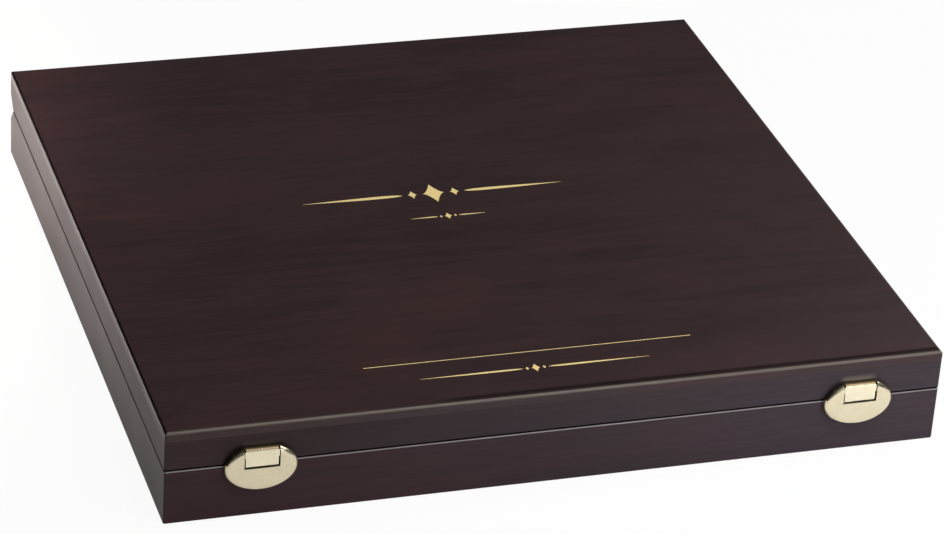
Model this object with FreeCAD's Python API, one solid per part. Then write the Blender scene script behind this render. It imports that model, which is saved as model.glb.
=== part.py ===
import FreeCAD, Part
import math
import os

# A flat wooden presentation case for pencils: a shallow base, a lid hinged along the back
# and two sprung oval latches on the front.
# Lengths are in millimetres. X runs right along the front, Y to the back and Z up.
# The origin is the middle of the underside, which rests on the table.

# The whole case
case_width = 390.0
case_depth = 379.0
case_height = 50.0
base_height_share = 0.576
seam_gap = 0.5
corner_radius = 1.0
lid_edge_radius = 2.0
base_rim_chamfer = 0.45
base_foot_radius = 0.8
lid_rim_radius = 0.4

# Boards and panels
wall_thickness = 10.0
back_thickness = 13.5
bottom_thickness = 4.0
bottom_rabbet = 5.0
lid_panel_thickness = 5.0
lining_thickness = 2.0
lining_clearance = 0.3

# V-shaped groove along the back of the seam, which lets the lid swing past upright
groove_depth = 7.5
groove_rise_share = 0.397

# Butt hinges let into the two bevels of the groove
hinge_end_distance = 70.0
hinge_length = 38.0
hinge_segments = 5
knuckle_radius = 2.0
hinge_pin_radius = 1.0
hinge_pin_clearance = 0.05
segment_clearance = 0.2
knuckle_clearance = 0.3
leaf_width = 9.5
leaf_thickness = 1.2
mortise_clearance = 0.2
hinge_screw_count = 3
hinge_screw_pitch = 13.0
hinge_screw_inset = 6.2
screw_head_radius = 1.8
screw_shank_radius = 0.9
screw_head_height = 1.0
screw_length = 9.0
screw_point_length = 2.0

# Pencil trays, formed from thin flocked sheet
pencil_pitch = 9.0
tray_end_land = 4.5
pencil_groove_radius = 3.9
pencil_groove_depth = 3.6
tray_clearance = 0.3
tray_height = 20.0
tray_sheet = 1.0
trough_width = 38.0
trough_depth = 11.0
trough_corner_radius = 4.0

# Latches. Heights are above the middle of the seam, and reaches are out from the front face
latch_left_end_distance = 45.9
latch_right_end_distance = 43.6
oval_half_width = 17.85
oval_half_height = 12.4
oval_drop = 1.2
oval_back_reach = 1.2
oval_edge_reach = 3.8
oval_top_reach = 4.6
oval_edge_radius = 2.8
oval_wall = 0.9
notch_half_width = 8.65
notch_floor_height = -0.55
pivot_height = 7.9
pivot_reach = 2.1
pivot_pin_radius = 0.6
pivot_clearance = 0.05
pin_end_clearance = 0.15
lug_radius = 1.6
lug_thickness = 0.9
lug_foot_height = 3.0
ledge_half_width = 3.5
ledge_top_height = -9.9
ledge_bottom_height = -12.8
ledge_back_reach = 1.5
ledge_front_reach = 2.3

# Hanger: the fixed tab on the lid which carries the pivot pin
tab_half_width = 8.3
tab_top_height = 9.6
tab_front_reach = 3.8
tab_sheet = 0.8
tab_bend_radius = 2.0
flap_half_width = 7.9
flap_shoulder_height = 4.8
flap_foot_height = 0.2
hanger_foot_height = 0.8
ear_foot_height = 5.2
wing_half_width = 14.0
wing_top_height = 4.4
wing_corner_radius = 1.6

# Keeper plate and its spring tongue on the base
keeper_half_width = 9.0
keeper_top_height = -1.6
keeper_foot_height = -7.2
keeper_thickness = 1.1
spring_sheet = 0.3
spring_half_width = 7.9
spring_top_height = -2.3
spring_bend_height = -6.2
tongue_half_width = 3.0
tongue_reaches = (0.15, 0.15, 2.65, 2.75, 2.55)
tongue_heights = (-6.0, -7.3, -8.8, -9.5, -10.5)

# Round-headed nails of the hangers and flush nails of the keepers
nail_radius = 0.6
nail_length = 8.0
nail_point_length = 1.5
nail_head_radius = 1.3
nail_head_height = 0.45
nail_head_round = 0.3
hanger_nail_offset = 11.6
hanger_nail_height = 2.6
keeper_nail_offset = 6.0
keeper_nail_height = -4.4
flush_head_height = 0.7

# Values worked out from the ones above
base_height = base_height_share * case_height
groove_rise = groove_rise_share * (case_height - base_height - seam_gap)
front_y = -case_depth / 2
back_y = case_depth / 2
side_x = case_width / 2
seam_z = base_height + seam_gap / 2
lid_bottom = base_height + seam_gap
lid_panel_bottom = case_height - lid_panel_thickness
inner_x = side_x - wall_thickness
tray_half_length = inner_x - tray_clearance
pencils_per_row = math.floor(2 * (tray_half_length - tray_end_land) / pencil_pitch)
inner_front_y = front_y + wall_thickness
inner_back_y = back_y - back_thickness
axis_y = back_y - groove_depth
bevel_angle = math.degrees(math.atan2(groove_rise, groove_depth))
bevel_offset = seam_gap / 2 * math.cos(math.radians(bevel_angle))
latch_sides = {"left": latch_left_end_distance - side_x, "right": side_x - latch_right_end_distance}
hinge_sides = {"left": hinge_end_distance - side_x, "right": side_x - hinge_end_distance}
along_x = FreeCAD.Vector(1, 0, 0)
along_y = FreeCAD.Vector(0, 1, 0)
along_z = FreeCAD.Vector(0, 0, 1)
quarter_turn = 90
full_turn = 360
tolerance = 0.001


def point(x, y, z):
    """A point or direction in space."""
    return FreeCAD.Vector(x, y, z)


def box(x_range, y_range, z_range):
    """A block between two limits along each axis."""
    spans = [high - low for low, high in (x_range, y_range, z_range)]
    corner = point(x_range[0], y_range[0], z_range[0])
    return Part.makeBox(*spans, corner)


def moved(shape, x=0, y=0, z=0):
    """A copy of a shape, moved."""
    copy = shape.copy()
    copy.translate(point(x, y, z))
    return copy


def level_edges(shape, height):
    """The edges of a shape that lie wholly at one height."""
    found = []
    for edge in shape.Edges:
        limits = edge.BoundBox
        if abs(limits.ZMin - height) < tolerance and abs(limits.ZMax - height) < tolerance:
            found.append(edge)
    return found


def upright_edges(shape):
    """The vertical edges of a block."""
    return [edge for edge in shape.Edges if edge.BoundBox.ZLength > tolerance]


def board_block(bottom, top, bottom_radius, top_radius):
    """A block as wide and deep as the case, with rounded corners and rounded edges."""
    block = box((-side_x, side_x), (front_y, back_y), (bottom, top))
    block = block.makeFillet(corner_radius, upright_edges(block))
    if top_radius:
        block = block.makeFillet(top_radius, level_edges(block, top))
    if bottom_radius:
        block = block.makeFillet(bottom_radius, level_edges(block, bottom))
    return block


def groove_wedge():
    """The wood missing from the V-shaped groove along the back of the seam."""
    beyond = back_y + groove_depth
    rise = groove_rise * (beyond - axis_y) / groove_depth
    corners = [
        point(-case_width, axis_y, base_height),
        point(-case_width, beyond, base_height - rise),
        point(-case_width, beyond, lid_bottom + rise),
        point(-case_width, axis_y, lid_bottom),
    ]
    face = Part.Face(Part.makePolygon(corners + corners[:1]))
    return face.extrude(point(2 * case_width, 0, 0))


def mitred_boards(ring, bottom, top):
    """Cuts a ring of wood along its four mitre joints into front, back, left and right boards."""
    outer = [(-side_x, front_y), (side_x, front_y), (side_x, back_y), (-side_x, back_y)]
    inner = [
        (-inner_x, inner_front_y),
        (inner_x, inner_front_y),
        (inner_x, inner_back_y),
        (-inner_x, inner_back_y),
    ]
    boards = {}
    for number, name in enumerate(("front", "right", "back", "left")):
        after = (number + 1) % len(outer)
        plan = [outer[number], outer[after], inner[after], inner[number], outer[number]]
        face = Part.Face(Part.makePolygon([point(x, y, bottom) for x, y in plan]))
        boards[name] = ring.common(face.extrude(point(0, 0, top - bottom)))
    return boards


def base_boards():
    """The four walls of the base, with a chamfer round the rim, the groove and the rabbet underneath."""
    ring = board_block(0, base_height, base_foot_radius, 0)
    ring = ring.makeChamfer(base_rim_chamfer, level_edges(ring, base_height))
    cavity = box((-inner_x, inner_x), (inner_front_y, inner_back_y), (0, base_height))
    ring = ring.cut([cavity, groove_wedge(), bottom_panel()])
    return mitred_boards(ring, 0, base_height)


def bottom_panel():
    """The panel let into the rabbet, flush with the underside of the walls."""
    x_range = (-inner_x - bottom_rabbet, inner_x + bottom_rabbet)
    y_range = (inner_front_y - bottom_rabbet, inner_back_y + bottom_rabbet)
    return box(x_range, y_range, (0, bottom_thickness))


def lid_boards():
    """The four walls of the lid, with the groove at the back."""
    ring = board_block(lid_bottom, lid_panel_bottom, lid_rim_radius, 0)
    cavity = box((-inner_x, inner_x), (inner_front_y, inner_back_y), (lid_bottom, lid_panel_bottom))
    ring = ring.cut([cavity, groove_wedge()])
    return mitred_boards(ring, lid_bottom, lid_panel_bottom)


def rounded_slab(direction):
    """A slab as wide and deep as the case, rounded along the two top edges that run one way."""
    slab = box((-side_x, side_x), (front_y, back_y), (lid_panel_bottom, case_height))
    edges = []
    for edge in level_edges(slab, case_height):
        ends = edge.Vertexes
        if abs((ends[1].Point - ends[0].Point).dot(direction)) > tolerance:
            edges.append(edge)
    return slab.makeFillet(lid_edge_radius, edges)


def lid_panel():
    """The top of the lid: two rounded slabs and a block with rounded corners in common."""
    block = board_block(lid_panel_bottom, case_height, 0, 0)
    return block.common(rounded_slab(along_x)).common(rounded_slab(along_y))


def lid_lining():
    """The soft board that lines the inside of the lid."""
    edge = lining_clearance
    x_range = (-inner_x + edge, inner_x - edge)
    y_range = (inner_front_y + edge, inner_back_y - edge)
    return box(x_range, y_range, (lid_panel_bottom - lining_thickness, lid_panel_bottom))


def arc_wires(centres, centre_height, radius, half_span, left, right, flat_height, bottom):
    """A closed outline across a tray: hollows below the centres, lands between and a flat foot."""
    drop = math.sqrt(radius ** 2 - half_span ** 2)
    edges = []
    last = point(left, 0, bottom)
    if centres[0] - half_span - left > tolerance:
        corner = point(left, 0, flat_height)
        edges.append(Part.makeLine(last, corner))
        last = corner
    for centre in centres:
        start = point(centre - half_span, 0, centre_height - drop)
        middle = point(centre, 0, centre_height - radius)
        end = point(centre + half_span, 0, centre_height - drop)
        if (start - last).Length > tolerance:
            edges.append(Part.makeLine(last, start))
        edges.append(Part.Arc(start, middle, end).toShape())
        last = end
    for corner in (point(right, 0, flat_height), point(right, 0, bottom), point(left, 0, bottom)):
        if (corner - last).Length > tolerance:
            edges.append(Part.makeLine(last, corner))
        last = corner
    return Part.Wire(edges)


def trough(length, width, floor, top, radius):
    """The block that a finger trough takes out, with rounded edges along its floor."""
    block = box((-length / 2, length / 2), (-width / 2, width / 2), (floor, top))
    edges = [edge for edge in level_edges(block, floor) if edge.BoundBox.XLength > length / 2]
    return block.makeFillet(radius, edges)


def pencil_tray(tray_depth):
    """A formed tray with a groove for each pencil and a finger trough across the middle."""
    left = -tray_half_length
    right = tray_half_length
    top = bottom_thickness + tray_height
    centre_height = top + pencil_groove_radius - pencil_groove_depth
    half_row = pencil_pitch * (pencils_per_row - 1) / 2
    centres = [pencil_pitch * number - half_row for number in range(pencils_per_row)]
    half_mouth = math.sqrt(pencil_groove_radius ** 2 - (centre_height - top) ** 2)
    outline = arc_wires(
        centres, centre_height, pencil_groove_radius, half_mouth, left, right, top, bottom_thickness
    )
    body = Part.Face(outline).extrude(point(0, tray_depth, 0))
    under_radius = pencil_groove_radius + tray_sheet
    under = arc_wires(
        centres,
        centre_height,
        under_radius,
        pencil_pitch / 2,
        left + tray_sheet,
        right - tray_sheet,
        top - tray_sheet,
        bottom_thickness,
    )
    hollow = Part.Face(under).extrude(point(0, tray_depth - 2 * tray_sheet, 0))
    hollow.translate(point(0, tray_sheet, 0))
    floor = top - trough_depth
    length = 2 * (half_row + half_mouth)
    finger_space = trough(length, trough_width, floor, top + trough_depth, trough_corner_radius)
    finger_space.translate(point(0, tray_depth / 2, 0))
    skin = trough(
        length + 2 * tray_sheet,
        trough_width + 2 * tray_sheet,
        floor - tray_sheet,
        top + trough_depth,
        trough_corner_radius + tray_sheet,
    )
    skin.translate(point(0, tray_depth / 2, 0))
    return body.cut(finger_space).cut(hollow.cut(skin))


def hinge_screw():
    """A countersunk screw pointing down, with the top of its head at the origin."""
    profile = [
        point(0, 0, 0),
        point(screw_head_radius, 0, 0),
        point(screw_shank_radius, 0, -screw_head_height),
        point(screw_shank_radius, 0, screw_point_length - screw_length),
        point(0, 0, -screw_length),
        point(0, 0, 0),
    ]
    return Part.Face(Part.makePolygon(profile)).revolve(point(0, 0, 0), along_z, full_turn)


def flat_screws():
    """The screws of one hinge leaf, with the leaf lying flat and its knuckle on the X axis."""
    first = -hinge_screw_pitch * (hinge_screw_count - 1) / 2
    screws = []
    for number in range(hinge_screw_count):
        across = first + hinge_screw_pitch * number
        screws.append(moved(hinge_screw(), across, hinge_screw_inset, -bevel_offset))
    return screws


def flat_leaf(own_segments):
    """One hinge leaf lying flat below the axis, with its share of the knuckle."""
    half = hinge_length / 2
    segment = hinge_length / hinge_segments
    low = -bevel_offset - leaf_thickness
    bore = Part.makeCylinder(
        hinge_pin_radius + hinge_pin_clearance, hinge_length, point(-half, 0, 0), along_x
    )
    leaf = box((-half, half), (0, leaf_width), (low, -bevel_offset))
    clear_radius = knuckle_radius + knuckle_clearance
    cuts = [bore] + flat_screws()
    tubes = []
    for number in range(hinge_segments):
        start = -half + segment * number
        if number in own_segments:
            length = segment - segment_clearance
            start = start + segment_clearance / 2
            tubes.append(Part.makeCylinder(knuckle_radius, length, point(start, 0, 0), along_x))
        else:
            cuts.append(Part.makeCylinder(clear_radius, segment, point(start, 0, 0), along_x))
    return leaf.cut(cuts[1 + hinge_screw_count:]).fuse(tubes).cut(cuts[:1 + hinge_screw_count])


def flat_mortise():
    """The wood taken out for one hinge leaf, lying flat, and for the knuckle."""
    half = hinge_length / 2 + mortise_clearance
    y_range = (0, leaf_width + mortise_clearance)
    pocket = box((-half, half), y_range, (-bevel_offset - leaf_thickness, knuckle_radius))
    clear_radius = knuckle_radius + knuckle_clearance
    round_pocket = Part.makeCylinder(clear_radius, 2 * half, point(-half, 0, 0), along_x)
    return pocket.fuse(round_pocket)


def on_bevel(shape, x, on_lid):
    """Turns a flat hinge shape onto the bevel of the base or of the lid, at one place along it."""
    placed = shape.copy()
    placed.rotate(point(0, 0, 0), along_x, -bevel_angle)
    if on_lid:
        placed = placed.mirror(point(0, 0, 0), along_z)
    return moved(placed, x, axis_y, seam_z)


def hinge_pin(x):
    """The pin through the knuckle of one hinge."""
    start = point(x - hinge_length / 2, axis_y, seam_z)
    return Part.makeCylinder(hinge_pin_radius, hinge_length, start, along_x)


def latch_box(x_range, reach_range, height_range):
    """A block at a latch, from reaches out of the front face and heights above the seam."""
    y_range = (front_y - reach_range[1], front_y - reach_range[0])
    z_range = (seam_z + height_range[0], seam_z + height_range[1])
    return box(x_range, y_range, z_range)


def pivot_cylinder(radius, half_length):
    """A cylinder on the pivot axis of a latch."""
    start = point(-half_length, front_y - pivot_reach, seam_z + pivot_height)
    return Part.makeCylinder(radius, 2 * half_length, start, along_x)


def oval_solid(wall, back, edge_radius):
    """A domed oval block in front of the seam, smaller all round by the wall."""
    outline = Part.Ellipse(point(0, 0, 0), oval_half_width - wall, oval_half_height - wall)
    face = Part.Face(Part.Wire([outline.toShape()]))
    block = face.extrude(point(0, 0, oval_top_reach))
    bulge = oval_top_reach - oval_edge_reach
    dome_radius = (oval_half_width ** 2 + bulge ** 2) / (2 * bulge)
    dome = Part.makeSphere(dome_radius - wall, point(0, 0, oval_top_reach - dome_radius))
    block = block.common(dome)
    rim = [edge for edge in block.Edges if edge.BoundBox.ZMin > oval_back_reach]
    block = block.makeFillet(edge_radius, rim)
    block = block.cut(box((-case_width, case_width), (-case_width, case_width), (-case_width, back)))
    block.rotate(point(0, 0, 0), along_x, quarter_turn)
    return moved(block, 0, front_y, seam_z - oval_drop)


def latch_lever():
    """The oval cover, notched around the tab, with two pivot lugs and a catch ledge."""
    outer = oval_solid(0, oval_back_reach, oval_edge_radius)
    inner = oval_solid(oval_wall, 0, oval_edge_radius - oval_wall)
    high = tab_top_height + oval_half_height
    notch = latch_box(
        (-notch_half_width, notch_half_width), (0, 2 * oval_top_reach), (notch_floor_height, high)
    )
    lug_end = notch_half_width + lug_thickness
    disc = pivot_cylinder(lug_radius, lug_end)
    brace = latch_box(
        (-lug_end, lug_end), (pivot_reach, oval_top_reach), (lug_foot_height, pivot_height + lug_radius)
    )
    lugs = disc.fuse(brace).common(oval_solid(0, 0, oval_edge_radius))
    ledge = latch_box(
        (-ledge_half_width, ledge_half_width),
        (ledge_back_reach, ledge_front_reach),
        (ledge_bottom_height, ledge_top_height),
    )
    bore = pivot_cylinder(pivot_pin_radius + pivot_clearance, lug_end)
    return outer.cut(inner).fuse([lugs, ledge]).cut([notch, bore])


def bent_block(width, reaches, top, bend_radius):
    """A block from the foot of the flap up to a height, rounded along its front top edge."""
    block = latch_box(width, reaches, (flap_foot_height, top))
    front_top = []
    for edge in level_edges(block, seam_z + top):
        if edge.BoundBox.XLength > tab_half_width and edge.BoundBox.YMax < front_y - pivot_reach:
            front_top.append(edge)
    return block.makeFillet(bend_radius, front_top)


def hanger():
    """The tab bent out over the pin, with ears, a narrower flap and wings nailed to the lid."""
    width = (-tab_half_width, tab_half_width)
    flap_width = (-flap_half_width, flap_half_width)
    flap_back = tab_front_reach - tab_sheet
    shell = bent_block(width, (0, tab_front_reach), tab_top_height, tab_bend_radius)
    space = bent_block(
        width, (tab_sheet, flap_back), tab_top_height - tab_sheet, tab_bend_radius - tab_sheet
    )
    below = latch_box(width, (0, tab_sheet), (flap_foot_height, hanger_foot_height))
    front = latch_box(width, (flap_back, tab_front_reach), (flap_foot_height, flap_shoulder_height))
    flap = latch_box(
        flap_width, (flap_back, tab_front_reach), (flap_foot_height, flap_shoulder_height)
    )
    shell = shell.cut([space, below, front.cut(flap)])
    ears = []
    for side in (-1, 1):
        x_range = sorted((side * tab_half_width, side * (tab_half_width - tab_sheet)))
        ears.append(
            latch_box(
                x_range, (tab_sheet, flap_back), (ear_foot_height, tab_top_height - tab_sheet)
            )
        )
    wings = latch_box(
        (-wing_half_width, wing_half_width), (0, tab_sheet), (hanger_foot_height, wing_top_height)
    )
    ends = []
    for edge in wings.Edges:
        if edge.BoundBox.YLength > tolerance:
            ends.append(edge)
    wings = wings.makeFillet(wing_corner_radius, ends)
    whole = shell.fuse(ears + [wings])
    return whole.cut([pivot_cylinder(pivot_pin_radius, wing_half_width)] + hanger_nails())


def latch_pin():
    """The pin through the ears of the hanger and the lugs of the lever."""
    return pivot_cylinder(pivot_pin_radius, notch_half_width + lug_thickness - pin_end_clearance)


def nail_shank(head_profile):
    """A nail pointing along Z down, with the underside of its head at the origin."""
    profile = [
        point(nail_radius, 0, nail_point_length - nail_length),
        point(0, 0, -nail_length),
    ]
    return Part.makePolygon(head_profile + profile + head_profile[:1])


def round_nail():
    """A nail with a low rounded head."""
    head = [
        point(0, 0, nail_head_height),
        point(nail_head_radius - nail_head_round, 0, nail_head_height),
        point(nail_head_radius, 0, nail_head_height - nail_head_round),
        point(nail_head_radius, 0, 0),
        point(nail_radius, 0, 0),
    ]
    return Part.Face(nail_shank(head)).revolve(point(0, 0, 0), along_z, full_turn)


def flush_nail():
    """A nail with a countersunk head, whose top is at the origin."""
    head = [
        point(0, 0, 0),
        point(nail_head_radius, 0, 0),
        point(nail_radius, 0, -flush_head_height),
    ]
    return Part.Face(nail_shank(head)).revolve(point(0, 0, 0), along_z, full_turn)


def nail_pair(nail, offset, reach, height):
    """Two nails driven into the front face, either side of the middle of a latch."""
    pair = []
    for side in (-1, 1):
        driven = nail.copy()
        driven.rotate(point(0, 0, 0), along_x, quarter_turn)
        pair.append(moved(driven, side * offset, front_y - reach, seam_z + height))
    return pair


def hanger_nails():
    """The two nails of one hanger."""
    return nail_pair(round_nail(), hanger_nail_offset, tab_sheet, hanger_nail_height)


def keeper_nails():
    """The two nails of one keeper."""
    return nail_pair(flush_nail(), keeper_nail_offset, keeper_thickness, keeper_nail_height)


def catch_spring():
    """The spring strip under the keeper plate, whose tongue bulges out over the ledge."""
    foot = latch_box(
        (-spring_half_width, spring_half_width),
        (0, spring_sheet),
        (spring_bend_height, spring_top_height),
    )
    middle = list(zip(tongue_reaches, tongue_heights))
    sides = ([], [])
    for number, (reach, height) in enumerate(middle):
        before = middle[max(number - 1, 0)]
        after = middle[min(number + 1, len(middle) - 1)]
        run = point(0, after[0] - before[0], after[1] - before[1])
        run.normalize()
        for side, sign in zip(sides, (1, -1)):
            out = reach + sign * spring_sheet / 2 * abs(run.z)
            up = height + sign * spring_sheet / 2 * run.y
            side.append(point(-tongue_half_width, front_y - out, seam_z + up))
    corners = sides[0] + sides[1][::-1]
    face = Part.Face(Part.makePolygon(corners + corners[:1]))
    tongue = face.extrude(point(2 * tongue_half_width, 0, 0))
    return foot.fuse(tongue).cut(keeper_nails())


def keeper():
    """The keeper plate, with a shallow pocket behind it for the foot of the spring strip."""
    plate = latch_box(
        (-keeper_half_width, keeper_half_width),
        (0, keeper_thickness),
        (keeper_foot_height, keeper_top_height),
    )
    pocket = latch_box(
        (-spring_half_width, spring_half_width),
        (0, spring_sheet),
        (keeper_foot_height, spring_top_height),
    )
    return plate.cut([pocket] + keeper_nails())


def build():
    """All the pieces of the case by name."""
    pieces = {}
    base = base_boards()
    lid = lid_boards()
    base_screws = []
    lid_screws = []
    base_segments = range(0, hinge_segments, 2)
    lid_segments = range(1, hinge_segments, 2)
    for side, x in hinge_sides.items():
        own = [on_bevel(screw, x, False) for screw in flat_screws()]
        base["back"] = base["back"].cut([on_bevel(flat_mortise(), x, False)] + own)
        base_screws += own
        own = [on_bevel(screw, x, True) for screw in flat_screws()]
        lid["back"] = lid["back"].cut([on_bevel(flat_mortise(), x, True)] + own)
        lid_screws += own
        pieces[f"hinge_{side}_base_leaf"] = on_bevel(flat_leaf(base_segments), x, False)
        pieces[f"hinge_{side}_lid_leaf"] = on_bevel(flat_leaf(lid_segments), x, True)
        pieces[f"hinge_{side}_pin"] = hinge_pin(x)
    shapes = {
        "lever": latch_lever(),
        "hanger": hanger(),
        "pin": latch_pin(),
        "keeper": keeper(),
        "catch_spring": catch_spring(),
    }
    hanger_fixings = []
    keeper_fixings = []
    for side, x in latch_sides.items():
        for name, shape in shapes.items():
            pieces[f"latch_{side}_{name}"] = moved(shape, x)
        hanger_fixings += [moved(nail, x) for nail in hanger_nails()]
        keeper_fixings += [moved(nail, x) for nail in keeper_nails()]
    lid["front"] = lid["front"].cut(hanger_fixings)
    base["front"] = base["front"].cut(keeper_fixings)
    for name in base:
        pieces[f"base_{name}_board"] = base[name]
        pieces[f"lid_{name}_board"] = lid[name]
    pieces["base_bottom_panel"] = bottom_panel()
    pieces["lid_top_panel"] = lid_panel()
    pieces["lid_lining_board"] = lid_lining()
    inside_depth = inner_back_y - inner_front_y
    tray_depth = (inside_depth - 3 * tray_clearance) / 2
    tray = pencil_tray(tray_depth)
    front_tray_y = inner_front_y + tray_clearance
    pieces["pencil_tray_front"] = moved(tray, 0, front_tray_y)
    pieces["pencil_tray_back"] = moved(tray, 0, front_tray_y + tray_depth + tray_clearance)
    pieces["base_hinge_screws"] = Part.makeCompound(base_screws)
    pieces["lid_hinge_screws"] = Part.makeCompound(lid_screws)
    pieces["hanger_nails"] = Part.makeCompound(hanger_fixings)
    pieces["keeper_nails"] = Part.makeCompound(keeper_fixings)
    return pieces


def write(pieces):
    """Writes each piece to a file of its own and prints its size, so that it can be looked over."""
    os.makedirs("parts", exist_ok=True)
    for name, shape in sorted(pieces.items()):
        solids = shape.Solids
        limits = shape.BoundBox
        if not shape.isValid() or not solids:
            raise ValueError(f"{name} is not a closed solid")
        kept = solids[0] if len(solids) == 1 else Part.makeCompound(solids)
        kept.exportStep(f"parts/{name}.step")
        span = f"{limits.XLength:.2f} x {limits.YLength:.2f} x {limits.ZLength:.2f}"
        print(f"{name}: {len(solids)} solid(s), {span}, {shape.Volume:.1f} mm3")


write(build())
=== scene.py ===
import logging
import math
from dataclasses import dataclass
from enum import Enum
from typing import Iterable, List, Mapping, Optional, Sequence, Tuple, Union

import bpy
import numpy as np
from mathutils import Matrix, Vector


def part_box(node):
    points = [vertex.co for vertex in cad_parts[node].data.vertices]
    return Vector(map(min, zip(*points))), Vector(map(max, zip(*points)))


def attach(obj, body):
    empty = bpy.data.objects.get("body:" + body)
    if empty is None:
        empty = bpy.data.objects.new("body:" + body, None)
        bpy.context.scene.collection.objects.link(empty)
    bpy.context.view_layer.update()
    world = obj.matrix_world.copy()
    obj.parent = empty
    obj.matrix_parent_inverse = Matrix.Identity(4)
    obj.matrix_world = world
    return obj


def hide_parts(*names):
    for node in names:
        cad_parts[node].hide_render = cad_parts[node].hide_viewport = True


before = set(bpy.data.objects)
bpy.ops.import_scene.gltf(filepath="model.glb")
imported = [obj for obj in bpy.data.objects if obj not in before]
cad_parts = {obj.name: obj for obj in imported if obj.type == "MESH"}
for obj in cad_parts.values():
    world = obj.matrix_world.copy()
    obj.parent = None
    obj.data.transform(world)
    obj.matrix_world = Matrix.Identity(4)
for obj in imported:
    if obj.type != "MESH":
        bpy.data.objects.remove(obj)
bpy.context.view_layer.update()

# A flat, dark lacquered pencil case with a hinged lid and two oval latches, dressed for a studio picture.
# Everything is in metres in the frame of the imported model, and sizes given in MM are turned into metres.

MM = 0.001

# Noise lies mostly within these bounds, so shares are mapped from them.
NOISE_BOUNDS = (0.3, 0.7)

Colour = Tuple[float, float, float]
Bounds = Tuple[float, float]
Socket = bpy.types.NodeSocket
Value = Union[float, Sequence[float], Socket]
Inputs = Mapping[Union[int, str], Value]

log = logging.getLogger("pencil_case")


# Patterns and shader building

class Grain(Enum):
    """The direction that wood grain or brushing runs in."""

    ACROSS_FRONT = "x"
    FRONT_TO_BACK = "y"

    def stretch(self, along: float, across: float) -> Tuple[float, float, float]:
        """Waves per metre on each axis for a pattern that is drawn out along the grain."""
        if self is Grain.ACROSS_FRONT:
            return (along, across, across)
        return (across, along, across)


@dataclass(frozen=True)
class Pattern:
    """Cloudy noise, by its waves per metre along and across the grain and by its finer and finer layers."""

    along: float
    across: float
    layers: float
    roughness: float = 0.5
    wavering: float = 0.0
    shift: float = 0.0


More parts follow.
